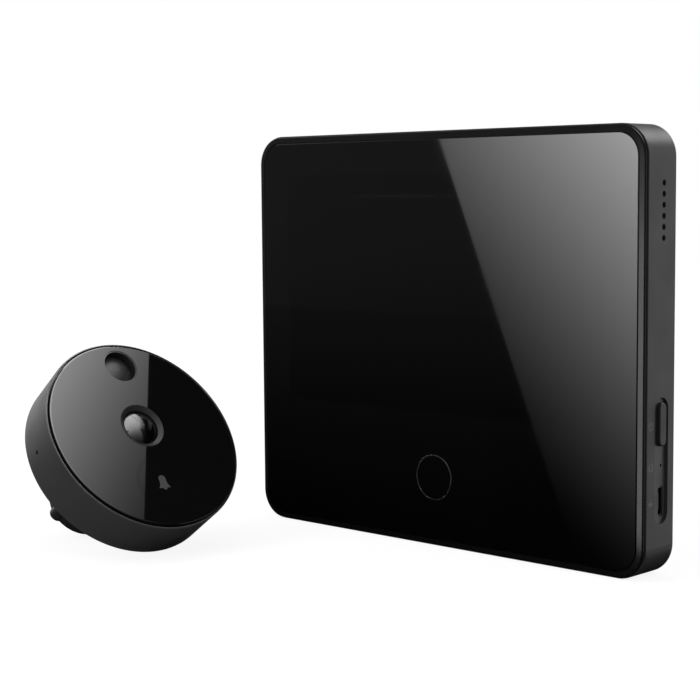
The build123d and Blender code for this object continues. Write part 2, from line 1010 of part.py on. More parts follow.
def above(height, up=0, right=0):
    """A plane parallel to the outdoor face, at a height over its back, centred off the axis."""
    origin = unit_origin + outward * height + face_up * up + face_right * right
    return Plane(origin=origin, x_dir=face_right, z_dir=outward)


def layer(low, high, up=0, spare=0):
    """The plane and reach of a piece between two heights over the outdoor unit's back."""
    return above(low - spare, up), high - low + 2 * spare


rim_height = unit_depth - unit_rim_drop
glass_low = unit_depth - unit_glass_thickness
shelf = glass_low - unit_seal_thickness
shelf_radius = unit_back_radius - unit_wall
rim_inner = unit_radius - unit_rim_break - unit_rim_land
unit_glass_radius = rim_inner - unit_groove
flange_top = unit_back + tube_flange_thickness
unit_board_radius = shelf_radius - unit_board_gap
unit_board_lift = flange_top + unit_board_share * (glass_low - flange_top)
unit_board_top = unit_board_lift + unit_board_thickness
unit_post_ring = unit_board_radius - unit_post_inset
unit_screw_end = unit_back + unit_screw_tip_gap
gasket_outer = unit_back_radius - gasket_edge_gap
gasket_inner = gasket_outer - gasket_width
motion_up = unit_radius - motion_edge_gap
bell_room = unit_radius + lens_rise - lens_ring_radius
bell_ring_outer = (bell_room - bell_edge_gap - bell_lens_gap) / 2
bell_ring_inner = bell_ring_outer - bell_ring_wall
bell_radius = bell_ring_inner - running
bell_drop = unit_radius - bell_edge_gap - bell_ring_outer
post_angles = [90 + 360 * (i + 0.5) / unit_post_count for i in range(unit_post_count)]
unit_posts = [
    (unit_post_ring * math.cos(math.radians(a)), unit_post_ring * math.sin(math.radians(a)))
    for a in post_angles
]

# Outdoor housing: a round cup with a stepped rim
mic_turn = math.radians(unit_mic_angle)
mic_outward = face_up * math.cos(mic_turn) - face_right * math.sin(mic_turn)


def radial(reach):
    """The plane square to the microphone's line through the side wall, at a radius."""
    origin = unit_origin + outward * unit_mic_lift + mic_outward * reach
    return Plane(origin=origin, x_dir=outward, z_dir=mic_outward)


with BuildPart() as outer_housing:
    turned(
        above(0),
        [
            (tube_radius + running, 0),
            (unit_back_radius - unit_back_break, 0),
            (unit_back_radius, unit_back_break),
            (unit_radius, rim_height - unit_rim_break),
            (unit_radius - unit_rim_break, rim_height),
            (rim_inner, rim_height),
            (rim_inner, shelf),
            (shelf_radius, shelf),
            (shelf_radius, unit_back),
            (tube_radius + running, unit_back),
        ],
    )
    hoop(
        *layer(-overrun, gasket_thickness),
        gasket_outer + glue_gap,
        gasket_inner - glue_gap,
        Mode.SUBTRACT,
    )
    for place in unit_posts:
        rod(*layer(unit_back, unit_board_lift), post_radius, place)
        rod(
            *layer(unit_screw_end, unit_board_top),
            screw_core_radius + running / 2,
            place,
            Mode.SUBTRACT,
        )
    rod(radial(shelf_radius - overrun), unit_wall + 2 * overrun, unit_mic_hole, mode=Mode.SUBTRACT)
finish(outer_housing, "outer_housing")

# Adhesive seal under the front glass
with BuildPart() as front_seal:
    seal_radius = unit_glass_radius - glue_gap
    hoop(*layer(shelf, glass_low), seal_radius, seal_radius - unit_seal_width)
finish(front_seal, "front_seal")

# Front glass with a rounded edge and holes for sensor, lens and doorbell button
lens_hole = lens_ring_radius + glue_gap / 2
with BuildPart() as front_glass:
    turned(
        above(0),
        [
            (0, glass_low),
            (unit_glass_radius, glass_low),
            (unit_glass_radius, unit_depth),
            (0, unit_depth),
        ],
    )
    unit_axis = Axis(unit_origin, outward)
    fillet(front_glass.faces().sort_by(unit_axis)[-1].edges(), unit_glass_round)
    for up, radius in (
        (motion_up, motion_radius),
        (lens_rise, lens_hole),
        (-bell_drop, bell_ring_outer + glue_gap / 2),
    ):
        rod(*layer(glass_low, unit_depth, up, overrun), radius, mode=Mode.SUBTRACT)
finish(front_glass, "front_glass")

# Lens: funnel ring, glass dome, barrel with its elements, and the image sensor
dome_low = unit_depth - dome_drop
with BuildPart() as lens_ring:
    ring_bottom = unit_depth - lens_ring_depth
    ring_inside = lens_ring_radius - lens_ring_wall
    turned(
        above(0, lens_rise),
        [
            (ring_inside, ring_bottom),
            (lens_ring_radius, ring_bottom),
            (lens_ring_radius, unit_depth),
            (lens_ring_radius - lens_ring_land, unit_depth),
            (ring_inside, unit_depth - lens_ring_slope),
        ],
    )
finish(lens_ring, "lens_ring")

with BuildPart() as lens_dome:
    domed(above(0, lens_rise), dome_radius, dome_low - dome_skirt, dome_low, dome_height)
finish(lens_dome, "lens_dome")

barrel_top = dome_low - dome_skirt
with BuildPart() as lens_barrel:
    sensor_room = sensor_size + 2 * free_gap
    sensor_ceiling = unit_board_top + barrel_base_height / 2
    cuboid(above(unit_board_top, lens_rise), barrel_base_height, barrel_base_size, barrel_base_size)
    rod(*layer(unit_board_top, barrel_top, lens_rise), barrel_radius)
    cuboid(
        *layer(unit_board_top - overrun, sensor_ceiling, lens_rise),
        sensor_room,
        sensor_room,
        mode=Mode.SUBTRACT,
    )
    rod(
        *layer(unit_board_top, barrel_top, lens_rise, overrun),
        barrel_radius - barrel_wall,
        mode=Mode.SUBTRACT,
    )
finish(lens_barrel, "lens_barrel")

element_radius = barrel_radius - barrel_wall - running
element_pitch = (barrel_top - unit_board_top - barrel_base_height) / element_count
with BuildPart() as lens_elements:
    for i in range(element_count):
        height = unit_board_top + barrel_base_height + i * element_pitch
        rod(above(height, lens_rise), element_pitch - element_gap, element_radius)
finish(lens_elements, "lens_elements")

with BuildPart() as image_sensor:
    cuboid(above(unit_board_top, lens_rise), sensor_thickness, sensor_size, sensor_size)
finish(image_sensor, "image_sensor")

# Motion sensor: black sleeve in the glass, domed window at its foot and the sensor can
sleeve_low = unit_depth - motion_depth
with BuildPart() as motion_sleeve:
    sleeve_radius = motion_radius - glue_gap / 2
    hoop(
        *layer(sleeve_low, unit_depth - motion_sink, motion_up),
        sleeve_radius,
        sleeve_radius - motion_wall,
    )
finish(motion_sleeve, "motion_sleeve")

with BuildPart() as motion_window:
    domed(
        above(0, motion_up),
        motion_radius - motion_wall - glue_gap,
        sleeve_low,
        sleeve_low + motion_skirt,
        motion_dome_height,
    )
finish(motion_window, "motion_window")

with BuildPart() as motion_sensor:
    rod(*layer(unit_board_top, sleeve_low - glue_gap, motion_up), motion_can_radius)
finish(motion_sensor, "motion_sensor")

# Infrared lamps: round bodies with domed tops
with BuildPart() as infrared_lamps:
    for across in (-lamp_across, lamp_across):
        domed(
            above(unit_board_top, lens_rise, across),
            lamp_radius,
            0,
            lamp_height - lamp_radius,
            lamp_radius,
        )
finish(infrared_lamps, "infrared_lamps")


# Doorbell button, its symbol, light ring and switch
def bell_shape(grow):
    """The outline of a plain bell with its clapper, on the doorbell button."""
    flare = symbol_width / 2 + grow
    half = symbol_width * shoulder_share + grow
    top = symbol_height / 2 + grow
    hem = -symbol_height * hem_share - grow
    bend = grow - symbol_height * hem_share * bend_share
    arc_foot = symbol_height * arc_foot_share
    with BuildSketch(above(unit_depth, -bell_drop)) as shape:
        with BuildLine():
            Line((-flare, hem), (flare, hem))
            Bezier((flare, hem), (half, bend), (half, arc_foot))
            ThreePointArc((half, arc_foot), (0, top), (-half, arc_foot))
            Bezier((-half, arc_foot), (-half, bend), (-flare, hem))
        make_face()
        with Locations((0, hem)):
            Circle(symbol_width * clapper_share + grow)
    return shape.sketch


bell_low = glass_low - free_gap - bell_flange_thickness
bell_well = unit_board_top + bell_well_floor
bell_switch_top = bell_low - bell_switch_room
with BuildPart() as doorbell_button:
    turned(
        above(0, -bell_drop),
        [
            (0, bell_well + bell_travel + glue_gap),
            (bell_stem_radius, bell_well + bell_travel + glue_gap),
            (bell_stem_radius, bell_low),
            (bell_radius + bell_flange, bell_low),
            (bell_radius + bell_flange, glass_low - free_gap),
            (bell_radius, glass_low - free_gap),
            (bell_radius, unit_depth),
            (0, unit_depth),
        ],
    )
    extrude(bell_shape(symbol_slack), amount=-symbol_depth, mode=Mode.SUBTRACT)
finish(doorbell_button, "doorbell_button")

with BuildPart() as bell_symbol:
    extrude(bell_shape(0), amount=-symbol_depth)
finish(bell_symbol, "bell_symbol")

with BuildPart() as doorbell_light_ring:
    hoop(*layer(glass_low, unit_depth, -bell_drop), bell_ring_outer, bell_ring_inner)
finish(doorbell_light_ring, "doorbell_light_ring")

with BuildPart() as doorbell_switch:
    cuboid(*layer(unit_board_top, bell_switch_top, -bell_drop), switch_size, switch_size)
    rod(
        *layer(bell_well, bell_switch_top + overrun, -bell_drop),
        bell_stem_radius + running,
        mode=Mode.SUBTRACT,
    )
finish(doorbell_switch, "doorbell_switch")

# Outdoor board, its screws and the ribbon socket on its back
with BuildPart() as outdoor_board:
    rod(*layer(unit_board_lift, unit_board_top), unit_board_radius)
    for place in unit_posts:
        rod(
            *layer(unit_board_lift, unit_board_top, spare=overrun),
            screw_core_radius + glue_gap,
            place,
            Mode.SUBTRACT,
        )
finish(outdoor_board, "outdoor_board")

with BuildPart() as outdoor_board_screws:
    for place in unit_posts:
        rod(above(unit_board_top), screw_head_height, screw_head_radius, place)
        rod(*layer(unit_screw_end + glue_gap, unit_board_top), screw_core_radius, place)
        cross(above(unit_board_top + screw_head_height), -cross_depth, place)
finish(outdoor_board_screws, "outdoor_board_screws")

with BuildPart() as outdoor_socket:
    socket_low = flange_top + unit_socket_gap
    unit_socket_depth = unit_board_lift - socket_low
    cuboid(*layer(socket_low, unit_board_lift), unit_socket_width, unit_socket_height)
    cuboid(
        *layer(socket_low - overrun, socket_low + unit_socket_depth / 2),
        unit_socket_width - 2 * socket_wall,
        unit_socket_height - 2 * socket_wall,
        mode=Mode.SUBTRACT,
    )
finish(outdoor_socket, "outdoor_socket")

# Microphone capsule behind the pinhole in the side wall
with BuildPart() as outdoor_microphone:
    rod(radial(shelf_radius - unit_mic_gap - unit_mic_length), unit_mic_length, unit_mic_radius)
finish(outdoor_microphone, "outdoor_microphone")

# Door tube: flange inside the housing, cable bore and two screw ears at the end
ear_turn = math.radians(ear_angle)
ear_along = ear_pitch_radius * math.sin(ear_turn)
ear_rise = ear_pitch_radius * math.cos(ear_turn)
ears = [(-ear_along, ear_rise), (ear_along, -ear_rise)]
with BuildPart() as door_tube:
    turned(
        above(0),
        [
            (tube_bore, -tube_length),
            (tube_radius - tube_break, -tube_length),
            (tube_radius, tube_break - tube_length),
            (tube_radius, unit_back),
            (tube_radius + tube_flange_width, unit_back),
            (tube_radius + tube_flange_width, flange_top),
            (tube_bore, flange_top),
        ],
    )
    for place in ears:
        rod(*layer(-tube_length, ear_length - tube_length), ear_radius, place)
    rod(*layer(-tube_length, 0, spare=overrun), tube_bore, mode=Mode.SUBTRACT)
    for place in ears:
        rod(
            *layer(-tube_length - overrun, ear_hole_depth - tube_length),
            ear_hole_radius,
            place,
            Mode.SUBTRACT,
        )
finish(door_tube, "door_tube")

# Foam gasket sunk in the back face, against the door
with BuildPart() as door_gasket:
    hoop(*layer(gasket_sink, gasket_thickness), gasket_outer, gasket_inner)
finish(door_gasket, "door_gasket")
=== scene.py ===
import json
import math

import bpy
from mathutils import Matrix, Vector

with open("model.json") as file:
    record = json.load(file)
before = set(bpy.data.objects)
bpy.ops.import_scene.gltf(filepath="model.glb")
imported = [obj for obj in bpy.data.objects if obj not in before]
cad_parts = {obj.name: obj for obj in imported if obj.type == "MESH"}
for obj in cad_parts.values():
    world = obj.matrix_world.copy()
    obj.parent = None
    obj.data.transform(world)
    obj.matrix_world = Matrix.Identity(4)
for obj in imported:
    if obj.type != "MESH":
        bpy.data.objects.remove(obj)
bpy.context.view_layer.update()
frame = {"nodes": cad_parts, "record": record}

# Camera: place in metres, then turn, dip and roll in radians, then lens and sensor in millimetres
CAMERA_PLACE = Vector((0.31164, -0.36573, 0.10073))
CAMERA_YAW = -0.7651
CAMERA_DIP = 0.0929
CAMERA_ROLL = -0.0081
CAMERA_LENS = 86.61
CAMERA_SENSOR = 36.0
CAMERA_NEAR = 0.01
CAMERA_FAR = 100.0

# Light levels: 1 renders a colour about as it is written
WHITE = (1.0, 1.0, 1.0, 1.0)
ROOM_LIGHT = 0.62
KEY_POWER = 7.5
KEY_SIZE = 0.9
KEY_PLACE = Vector((-0.75, -0.95, 1.25))
FILL_POWER = 3.0
FILL_SIZE = 0.8
FILL_PLACE = Vector((1.3, -0.1, 0.75))
LAMP_AIM = Vector((-0.01, -0.03, 0.055))

# Floor: half-width, drop below the object, its colour in soft light, and how much of it is lit or white by
# itself
FLOOR_REACH = 4.0
FLOOR_DROP = 0.00005
FLOOR_COLOUR = 0.8
FLOOR_LIT = 0.2
FLOOR_WHITE = 0.88

# Surroundings that only reflections see: a white sweep behind and a dark room in front
SURROUND_RADIUS = 3.5
SURROUND_STEPS = 48
SWEEP_START = 0.02
SWEEP_END = 0.5
SWEEP_TOP_START = 0.22
SWEEP_TOP_END = 0.5
SWEEP_LOW_START = -0.42
SWEEP_LOW_END = -0.12
SWEEP_GLOW = 0.85
ROOM_LOW = -0.2
ROOM_HIGH = 0.04
ROOM_GLOW = 0.15

# Soft lights in the surroundings: where they stand, their inner and outer half-angle in degrees, and their
# glow
SOFT_LIGHTS = (
    ((0.25, 0.6, 0.75), 8.0, 28.0, 5.0),
    ((-0.95, 0.1, 0.3), 10.0, 40.0, 0.9),
)

# Cards that only reflections see, from one side: the axis that they stand across, their place on it, their
# corners on the other two axes, and for a light its glow (level, by the first axis, by the second, by both)
# and the most that it reaches. All places are in metres.
CARDS = {
    # Stands far in front, in the monitor's glass
    "screen_card": ("Y", -0.9, ((-0.7726, 0.165), (-0.515, 0.165), (-0.515, -0.4427)),
                    (4.3086, 4.9187, 7.8682, 3.723), 2.6),
    # Stands over the monitor's front edge, in the outdoor unit's glass
    "unit_card": ("Y", -0.009, ((-0.35, 0.1486), (0.25, 0.064), (0.25, 0.5), (-0.35, 0.5)),
                  (-1.045, -2.9178, 18.4525, -43.3375), 2.2),
    # Lies level over the outdoor unit, in the lens
    "lens_card": ("Z", 0.1, ((-0.085, -0.051), (0.0, -0.051), (0.0, -0.13), (-0.085, -0.13)),
                  (2.0, -12.0, 0.0, 0.0), 2.6),
    # Stands to the right of the outdoor unit, in the lower part of the lens
    "low_lens_card": ("X", 0.0, ((-0.051, 0.015), (-0.14, 0.015), (-0.14, 0.1), (-0.051, 0.1)),
                      (-0.05, 0.0, 20.5, 0.0), 2.6),
    # Stands close to the monitor's right edge, in the bezel
    "bezel_card": ("Y", -0.06, ((0.0416, 0.13), (0.064, 0.13), (0.064, -0.002), (0.0416, -0.002)),
                   (3.8, 0.0, -25.5, 0.0), 1.8),
    # Keeps the bezel's card out of the home ring
    "ring_shade": ("X", 0.0405, ((-0.0085, -0.05), (-0.062, -0.05), (-0.062, 0.12), (-0.0085, 0.12)),
                   None, None),
    # Keeps the outdoor unit out of the monitor's glass
    "unit_shade": ("Y", -0.03, ((-0.12, 0.064), (0.003, 0.064), (0.003, -0.03), (-0.12, -0.03)),
                   None, None),
}
GLOW_POWER = 2.2
SHADE_LOW = -0.01
SHADE_HIGH = 0.123

# Colours that more than one finish uses
BLACK = (0.0013, 0.0013, 0.0014)
UNIT_BLACK = (0.0042, 0.0042, 0.0044)
RUBBER = (0.012, 0.012, 0.012)

# Screen window in the cover glass: half-width, lower edge, upper edge, softness of the edges, colour
SCREEN = (0.0583, 0.0384, 0.1063, 0.00025, (0.0003, 0.0003, 0.00034))

# Smears on polished surfaces: their size, their stretch and the part of the noise that shows
SMEAR_SIZE = 0.03
SMEAR_STRETCH = (1.0, 1.0, 0.45)
SMEAR_RANGE = (0.35, 0.75)
SMEAR_SPREAD = 0.1

# Moulded surfaces: size of their broad noise, the share that each noise has in the colour, and the part of
# the broad noise that changes the gloss
BROAD_SIZE = 0.012
MOTTLE_SHARE = 0.5
GLOSS_RANGE = (0.3, 0.7)

# Woven mesh: pitch and height of its threads, how dark the gaps are, and the part of the wave that shows
THREAD_PITCH = 0.00022
THREAD_HEIGHT = 0.00004
THREAD_GAP = 0.7
THREAD_RANGE = (-0.6, 0.9)

# Circuit board: tracks as thin lines of uneven bricks, round pads, and the lacquer over them
TRACK_SIZES = (("Scale", 1.0), ("Mortar Size", 0.00011), ("Brick Width", 0.0046), ("Row Height", 0.0009))
TRACK_OFFSET = 0.37
TRACK_SQUASH = 0.6
TRACK_SQUASH_EVERY = 3
TRACK_TURN = (math.pi / 2, 0, math.pi / 7)
TRACK_HEIGHT = 0.00002
TRACK_SHADE = 1.8
PAD_SCALE = 420.0
PAD_RANGE = (0.12, 0.16)
PAD_GOLD = (0.5, 0.46, 0.36)
LACQUER = {"Coat_Weight": 0.4, "Coat_Roughness": 0.12}

# Battery foil: its creases, and painted shade that darkens its colour along them
FOIL_METAL = 0.35
CREASE_SCALE = 90.0
CREASE_WANDER = 0.004
CREASE_WANDER_SHARE = 0.6
CREASE_HEIGHT = 0.0003
CREASE_STRENGTH = 0.5
CREASE_SHADE_SPREAD = 0.15

# Signs printed on the monitor's right side: where they are, the softness of their edges and their ink
SIGN_SIDE = 0.0708
SIGN_SIDE_EDGE = 0.0002
SIGN_ACROSS = -0.004
SIGN_UP = {"power": 0.0405, "reset": 0.0298, "port": 0.0202}
SIGN_RADIUS = 0.0009
SIGN_LINE = 0.0004
SIGN_GAP = (0.0009, 0.0009)
SIGN_EDGE = 0.00006
SIGN_COLOUR = (0.07, 0.07, 0.072)

# Upright stroke of the power sign, arrow end of the reset sign, and body and stem of the port sign:
# place beside the sign's middle, then size
POWER_STROKE = ((0.0, 0.0007), (SIGN_LINE, 0.0011))
RESET_END = ((0.0005, SIGN_RADIUS), (0.0005, 0.0007))
PORT_BODY = ((0.0, 0.0), (0.0018, 0.0009))
PORT_STEM = ((0.0, 0.0008), (0.0003, 0.0012))

# Places of the two colours and of the result on a colour mix
MIX_FIRST = 6
MIX_SECOND = 7
MIX_RESULT = 2


# Material nodes
def node(tree, kind, **settings):
    made = tree.nodes.new(kind)
    for name, value in settings.items():
        setattr(made, name, value)
    return made


def arithmetic(tree, operation, first, second=None, third=None, clamp=False):
    made = node(tree, "ShaderNodeMath", operation=operation, use_clamp=clamp)
    for socket, value in zip(made.inputs, (first, second, third)):
        if value is None:
            continue
        if isinstance(value, (int, float)):
            socket.default_value = value
        else:
            tree.links.new(value, socket)
    return made.outputs[0]


def ramp(tree, value, start, end, low, high):
    """A smooth step from low at start to high at end."""
    made = node(tree, "ShaderNodeMapRange", interpolation_type="SMOOTHSTEP")
    tree.links.new(value, made.inputs["Value"])
    for name, number in (("From Min", start), ("From Max", end), ("To Min", low), ("To Max", high)):
        made.inputs[name].default_value = number
    return made.outputs["Result"]


def place(tree):
    """The object's own coordinates, which are metres in the shared frame."""
    return node(tree, "ShaderNodeTexCoord").outputs["Object"]


def split(tree, vector):
    axes = node(tree, "ShaderNodeSeparateXYZ")
    tree.links.new(vector, axes.inputs[0])
    return axes.outputs


def noise(tree, size, detail=2.0, stretch=(1.0, 1.0, 1.0)):
    mapping = node(tree, "ShaderNodeMapping")
    mapping.inputs["Scale"].default_value = [1.0 / (size * s) for s in stretch]
    tree.links.new(place(tree), mapping.inputs["Vector"])
    made = node(tree, "ShaderNodeTexNoise")
    made.inputs["Scale"].default_value = 1.0
    made.inputs["Detail"].default_value = detail
    tree.links.new(mapping.outputs["Vector"], made.inputs["Vector"])
    return made.outputs["Fac"]


def blend_colours(tree, factor, first, second):
    made = node(tree, "ShaderNodeMix", data_type="RGBA")
    tree.links.new(factor, made.inputs["Factor"])
    for socket, value in ((made.inputs[MIX_FIRST], first), (made.inputs[MIX_SECOND], second)):
        if hasattr(value, "links"):
            tree.links.new(value, socket)
        else:
            socket.default_value = (*value, 1.0)
    return made.outputs[MIX_RESULT]


def shader(name, roughness, metallic=0.0, **sockets):
    made = bpy.data.materials.new(name)
    made.use_nodes = True
    tree = made.node_tree
    surface = tree.nodes["Principled BSDF"]
    surface.inputs["Metallic"].default_value = metallic
    surface.inputs["Roughness"].default_value = roughness
    for socket, value in sockets.items():
        surface.inputs[socket.replace("_", " ")].default_value = value
    return made, tree, surface


def bump(tree, surface, height, depth, strength=1.0):
    made = node(tree, "ShaderNodeBump")
    made.inputs["Strength"].default_value = strength
    made.inputs["Distance"].default_value = depth
    tree.links.new(height, made.inputs["Height"])
    tree.links.new(made.outputs["Normal"], surface.inputs["Normal"])


def shades(colour, spread):
    return tuple(c * (1 - spread) for c in colour), tuple(c * (1 + spread) for c in colour)


# Finishes
def moulded(name, colour, roughness, grain=0.00025, depth=0.000008, spread=0.12, metallic=0.0,
            rough_spread=0.05, stretch=(1.0, 1.0, 1.0), **sockets):
    """A surface with a fine grain, and colour and gloss that vary a little over it."""
    made, tree, surface = shader(name, roughness, metallic, **sockets)
    low, high = shades(colour, spread)
    broad = noise(tree, BROAD_SIZE)
    fine = noise(tree, grain, stretch=stretch)
    share = arithmetic(tree, "MULTIPLY", broad, MOTTLE_SHARE)
    mottle = arithmetic(tree, "MULTIPLY_ADD", fine, MOTTLE_SHARE, share)
    tree.links.new(blend_colours(tree, mottle, low, high), surface.inputs["Base Color"])
    gloss = ramp(tree, broad, *GLOSS_RANGE, roughness - rough_spread, roughness + rough_spread)
    tree.links.new(gloss, surface.inputs["Roughness"])
    bump(tree, surface, fine, depth)
    return made


def in_window(tree, half_width, low_edge, high_edge, edge):
    """1 inside the screen window and 0 round it."""
    axes = split(tree, place(tree))
    across = arithmetic(tree, "ABSOLUTE", axes["X"])
    sides = ramp(tree, across, half_width - edge, half_width + edge, 1.0, 0.0)
    bottom = ramp(tree, axes["Z"], low_edge - edge, low_edge + edge, 0.0, 1.0)
    top = ramp(tree, axes["Z"], high_edge - edge, high_edge + edge, 1.0, 0.0)
    return arithmetic(tree, "MULTIPLY", arithmetic(tree, "MULTIPLY", sides, bottom), top)


def polished(name, colour, roughness=0.02, smear=0.015, window=None):
    """Black glass, or gloss plastic: polished, with very faint smears in its gloss."""
    made, tree, surface = shader(name, roughness)
    smears = noise(tree, SMEAR_SIZE, detail=4.0, stretch=SMEAR_STRETCH)
    gloss = ramp(tree, smears, *SMEAR_RANGE, roughness, roughness + smear)
    tree.links.new(gloss, surface.inputs["Roughness"])
    low, high = shades(colour, SMEAR_SPREAD)
    tint = blend_colours(tree, smears, low, high)
    if window:
        *edges, inner = window
        tint = blend_colours(tree, in_window(tree, *edges), tint, inner)
    tree.links.new(tint, surface.inputs["Base Color"])
    return made


def woven(name, colour, roughness):
    """A square mesh of threads across Y and Z."""
    made, tree, surface = shader(name, roughness)
    axes = split(tree, place(tree))
    turns = 2 * math.pi / THREAD_PITCH
    threads = [arithmetic(tree, "SINE", arithmetic(tree, "MULTIPLY", axes[axis], turns)) for axis in "YZ"]
    weave = arithmetic(tree, "MAXIMUM", *threads)
    shown = ramp(tree, weave, *THREAD_RANGE, 0.0, 1.0)
    tint = blend_colours(tree, shown, shades(colour, THREAD_GAP)[0], colour)
    tree.links.new(tint, surface.inputs["Base Color"])
    bump(tree, surface, weave, THREAD_HEIGHT)
    return made


def circuit(name, colour, roughness):
    """Green lacquer over copper tracks, with small bare pads."""
    made, tree, surface = shader(name, roughness, **LACQUER)
    tracks = node(tree, "ShaderNodeTexBrick", offset=TRACK_OFFSET, squash=TRACK_SQUASH,
                  squash_frequency=TRACK_SQUASH_EVERY)
    for socket, value in TRACK_SIZES:
        tracks.inputs[socket].default_value = value
    turned = node(tree, "ShaderNodeMapping")
    turned.inputs["Rotation"].default_value = TRACK_TURN
    tree.links.new(place(tree), turned.inputs["Vector"])
    tree.links.new(turned.outputs["Vector"], tracks.inputs["Vector"])
    cells = node(tree, "ShaderNodeTexVoronoi")
    cells.inputs["Scale"].default_value = PAD_SCALE
    tree.links.new(place(tree), cells.inputs["Vector"])
    pads = ramp(tree, cells.outputs["Distance"], *PAD_RANGE, 1.0, 0.0)
    lacquer = blend_colours(tree, tracks.outputs["Fac"], colour, tuple(c * TRACK_SHADE for c in colour))
    tree.links.new(blend_colours(tree, pads, lacquer, PAD_GOLD), surface.inputs["Base Color"])
    bump(tree, surface, tracks.outputs["Fac"], TRACK_HEIGHT)
    return made


def foil(name, colour, roughness):
    """Creased metal foil, with painted shade: its colour is darker along the creases."""
    made, tree, surface = shader(name, roughness, metallic=FOIL_METAL)
    creases = node(tree, "ShaderNodeTexVoronoi", feature="DISTANCE_TO_EDGE")
    creases.inputs["Scale"].default_value = CREASE_SCALE
    tree.links.new(place(tree), creases.inputs["Vector"])
    wander = noise(tree, CREASE_WANDER)
    folds_and_shade = arithmetic(tree, "MULTIPLY_ADD", wander, CREASE_WANDER_SHARE, creases.outputs["Distance"])
    # Painted shade: the colour goes darker along the creases and lighter between them
    low, high = shades(colour, CREASE_SHADE_SPREAD)
    tree.links.new(blend_colours(tree, folds_and_shade, low, high), surface.inputs["Base Color"])
    bump(tree, surface, folds_and_shade, CREASE_HEIGHT, CREASE_STRENGTH)
    return made


FINISHES = {
    "monitor_shell": moulded("monitor_shell", (0.021, 0.0212, 0.0222), 0.42),
    "bezel": moulded("bezel", (0.004, 0.004, 0.0043), 0.24, grain=0.0002, depth=0.000003,
                     rough_spread=0.02, Specular_IOR_Level=0.4),
    "cover_glass": polished("cover_glass", BLACK, window=SCREEN),
    "tape": moulded("tape", RUBBER, 0.8),
    "display": polished("display", (0.004, 0.004, 0.006), 0.12),
    "backlight": moulded("backlight", (0.72, 0.72, 0.71), 0.5),
    "ribbon": moulded("ribbon", (0.42, 0.17, 0.03), 0.35, grain=0.0008, stretch=(0.3, 1.0, 4.0), spread=0.3),
    "home_ring": moulded("home_ring", (0.5, 0.5, 0.515), 0.24, grain=0.0004, depth=0.000002,
                         metallic=1.0, spread=0.04, rough_spread=0.03),
    "home_cap": polished("home_cap", BLACK, 0.025),
    "switch": moulded("switch", (0.025, 0.025, 0.027), 0.5),
    "circuit_board": circuit("circuit_board", (0.012, 0.1, 0.035), 0.35),
    "screw": moulded("screw", (0.42, 0.42, 0.43), 0.3, metallic=1.0, grain=0.0003),
    "chip": moulded("chip", (0.018, 0.018, 0.02), 0.55, depth=0.00001),
    "shield_can": moulded("shield_can", (0.6, 0.6, 0.58), 0.28, metallic=1.0, stretch=(1.0, 1.0, 12.0)),
    "capacitor": moulded("capacitor", (0.33, 0.23, 0.13), 0.45, spread=0.25),
    "battery": foil("battery", (0.55, 0.56, 0.58), 0.32),
    "mesh": woven("mesh", (0.02, 0.02, 0.021), 0.6),
    "inner_plastic": moulded("inner_plastic", (0.014, 0.014, 0.015), 0.45),
    "cone": moulded("cone", (0.06, 0.06, 0.062), 0.4, grain=0.0006),
    "magnet": moulded("magnet", (0.45, 0.45, 0.47), 0.22, metallic=1.0),
    "side_key": moulded("side_key", (0.012, 0.0121, 0.0126), 0.38),
    "port_steel": moulded("port_steel", (0.11, 0.11, 0.115), 0.4, metallic=1.0, stretch=(8.0, 1.0, 1.0)),
    "connector": moulded("connector", (0.66, 0.62, 0.52), 0.45),
    "plate_steel": moulded("plate_steel", (0.36, 0.36, 0.37), 0.36, metallic=1.0, grain=0.0004,
                           stretch=(14.0, 1.0, 1.0), depth=0.000006, spread=0.2),
    "outdoor_shell": moulded("outdoor_shell", (0.045, 0.0452, 0.0472), 0.42, grain=0.00022),
    "front_glass": polished("front_glass", UNIT_BLACK),
    "lens_ring": moulded("lens_ring", (0.022, 0.022, 0.023), 0.4, grain=0.0002, depth=0.000004,
                         Specular_IOR_Level=0.08),
    "lens_glass": polished("lens_glass", (0.0018, 0.0018, 0.0022), 0.14),
    "sleeve": moulded("sleeve", (0.008, 0.008, 0.009), 0.25, depth=0.000003),
    "motion_window": moulded("motion_window", (0.012, 0.012, 0.013), 0.42, grain=0.0005, depth=0.000006,
                             Specular_IOR_Level=0.25),
    "lamp": polished("lamp", (0.012, 0.006, 0.012), 0.05),
    "doorbell_cap": polished("doorbell_cap", UNIT_BLACK),
    "symbol": moulded("symbol", (0.011, 0.011, 0.0115), 0.45, depth=0.000003),
    "light_ring": polished("light_ring", (0.0045, 0.0045, 0.0048), 0.03),
    "tube_metal": moulded("tube_metal", (0.05, 0.0505, 0.053), 0.38, metallic=0.6, grain=0.0003,
                          stretch=(1.0, 6.0, 1.0)),
    "gasket": moulded("gasket", RUBBER, 0.9, grain=0.0004, depth=0.00004),
}


# Printed signs beside the power key, the reset hole and the port
def within(tree, value, middle, reach):
    """1 where a value is nearer to the middle than the reach, with a soft edge, and 0 elsewhere."""
    away = arithmetic(tree, "ABSOLUTE", arithmetic(tree, "SUBTRACT", value, middle))
    return ramp(tree, away, reach - SIGN_EDGE, reach + SIGN_EDGE, 1.0, 0.0)


def bar(tree, spot, up, beside, size):
    """A filled rectangle."""
    middles = SIGN_ACROSS + beside[0], up + beside[1]
    halves = [within(tree, value, middle, length / 2) for value, middle, length in zip(spot, middles, size)]
    return arithmetic(tree, "MULTIPLY", *halves)


